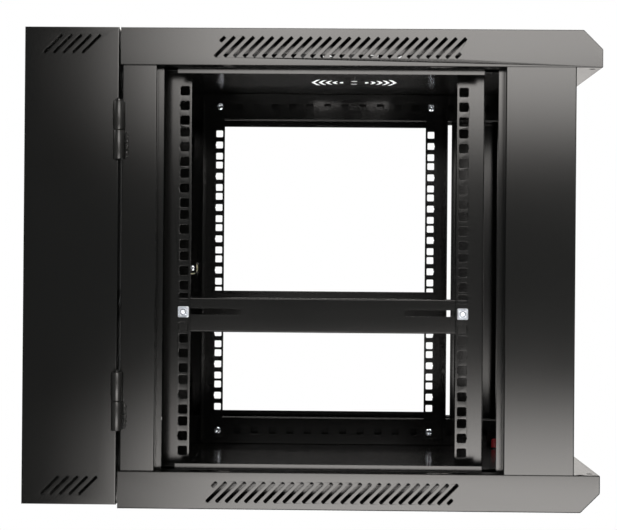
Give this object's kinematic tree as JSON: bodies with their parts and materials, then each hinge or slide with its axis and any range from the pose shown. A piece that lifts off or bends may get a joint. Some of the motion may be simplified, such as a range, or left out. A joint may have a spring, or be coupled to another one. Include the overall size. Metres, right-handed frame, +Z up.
{
  "type": "two-section wall rack cabinet",
  "caption": "Wall rack cabinet: a folded wall tray and a main frame that swings from it on side hinges, with vented covers, punched rails, depth bars and open sides.",
  "frame": {"origin": "on the wall face, midway between the four wall holes", "axes": "+Y into the wall, -Y towards the door side, +X to the lock side, +Z up"},
  "size_m": [0.6135, 0.6, 0.5],
  "materials": {
    "black_coat": "satin black powder coat",
    "zinc": "bright zinc plate",
    "brass": "dull plated brass",
    "chrome": "polished chrome",
    "red_cap": "soft red plastic"
  },
  "bodies": {
    "rear_section": {"rear_shell": "black_coat", "rear_top_plate": "black_coat", "rear_bottom_plate": "black_coat", "upper_hinge_rear_knuckle": "black_coat", "lower_hinge_rear_knuckle": "black_coat", "upper_hinge_pin": "black_coat", "lower_hinge_pin": "black_coat", "lock_catch": "black_coat"},
    "main_section": {"top_cover": "black_coat", "bottom_cover": "black_coat", "left_front_stile": "black_coat", "left_rear_stile": "black_coat", "right_front_stile": "black_coat", "right_rear_stile": "black_coat", "front_top_member": "black_coat", "front_bottom_member": "black_coat", "rear_top_member": "black_coat", "rear_bottom_member": "black_coat", "left_top_bar": "black_coat", "left_bottom_bar": "black_coat", "right_top_bar": "black_coat", "right_bottom_bar": "black_coat", "left_front_rail": "black_coat", "left_rear_rail": "black_coat", "right_front_rail": "black_coat", "right_rear_rail": "black_coat", "left_support": "black_coat", "right_support": "black_coat", "rail_screws": "zinc", "rail_nuts": "zinc", "support_screws": "zinc", "cage_nuts": "zinc", "upper_hinge_main_knuckle": "black_coat", "lower_hinge_main_knuckle": "black_coat", "lock_barrel": "chrome", "lock_nut": "brass", "earth_stud": "zinc", "stud_cap": "red_cap"},
    "lock": {"lock_plug": "chrome", "lock_cam": "zinc", "cam_screw": "zinc"}
  },
  "joints": [
    {"name": "main_swing", "type": "hinge", "parent": "rear_section", "child": "main_section", "pos_m": [-0.3055, -0.09925, 0], "axis": [0, 0, -1], "range_deg": [0, 100]},
    {"name": "lock_turn", "type": "hinge", "parent": "main_section", "child": "lock", "pos_m": [0.29, -0.12, 0], "axis": [-1, 0, 0], "range_deg": [0, 90]}
  ]
}
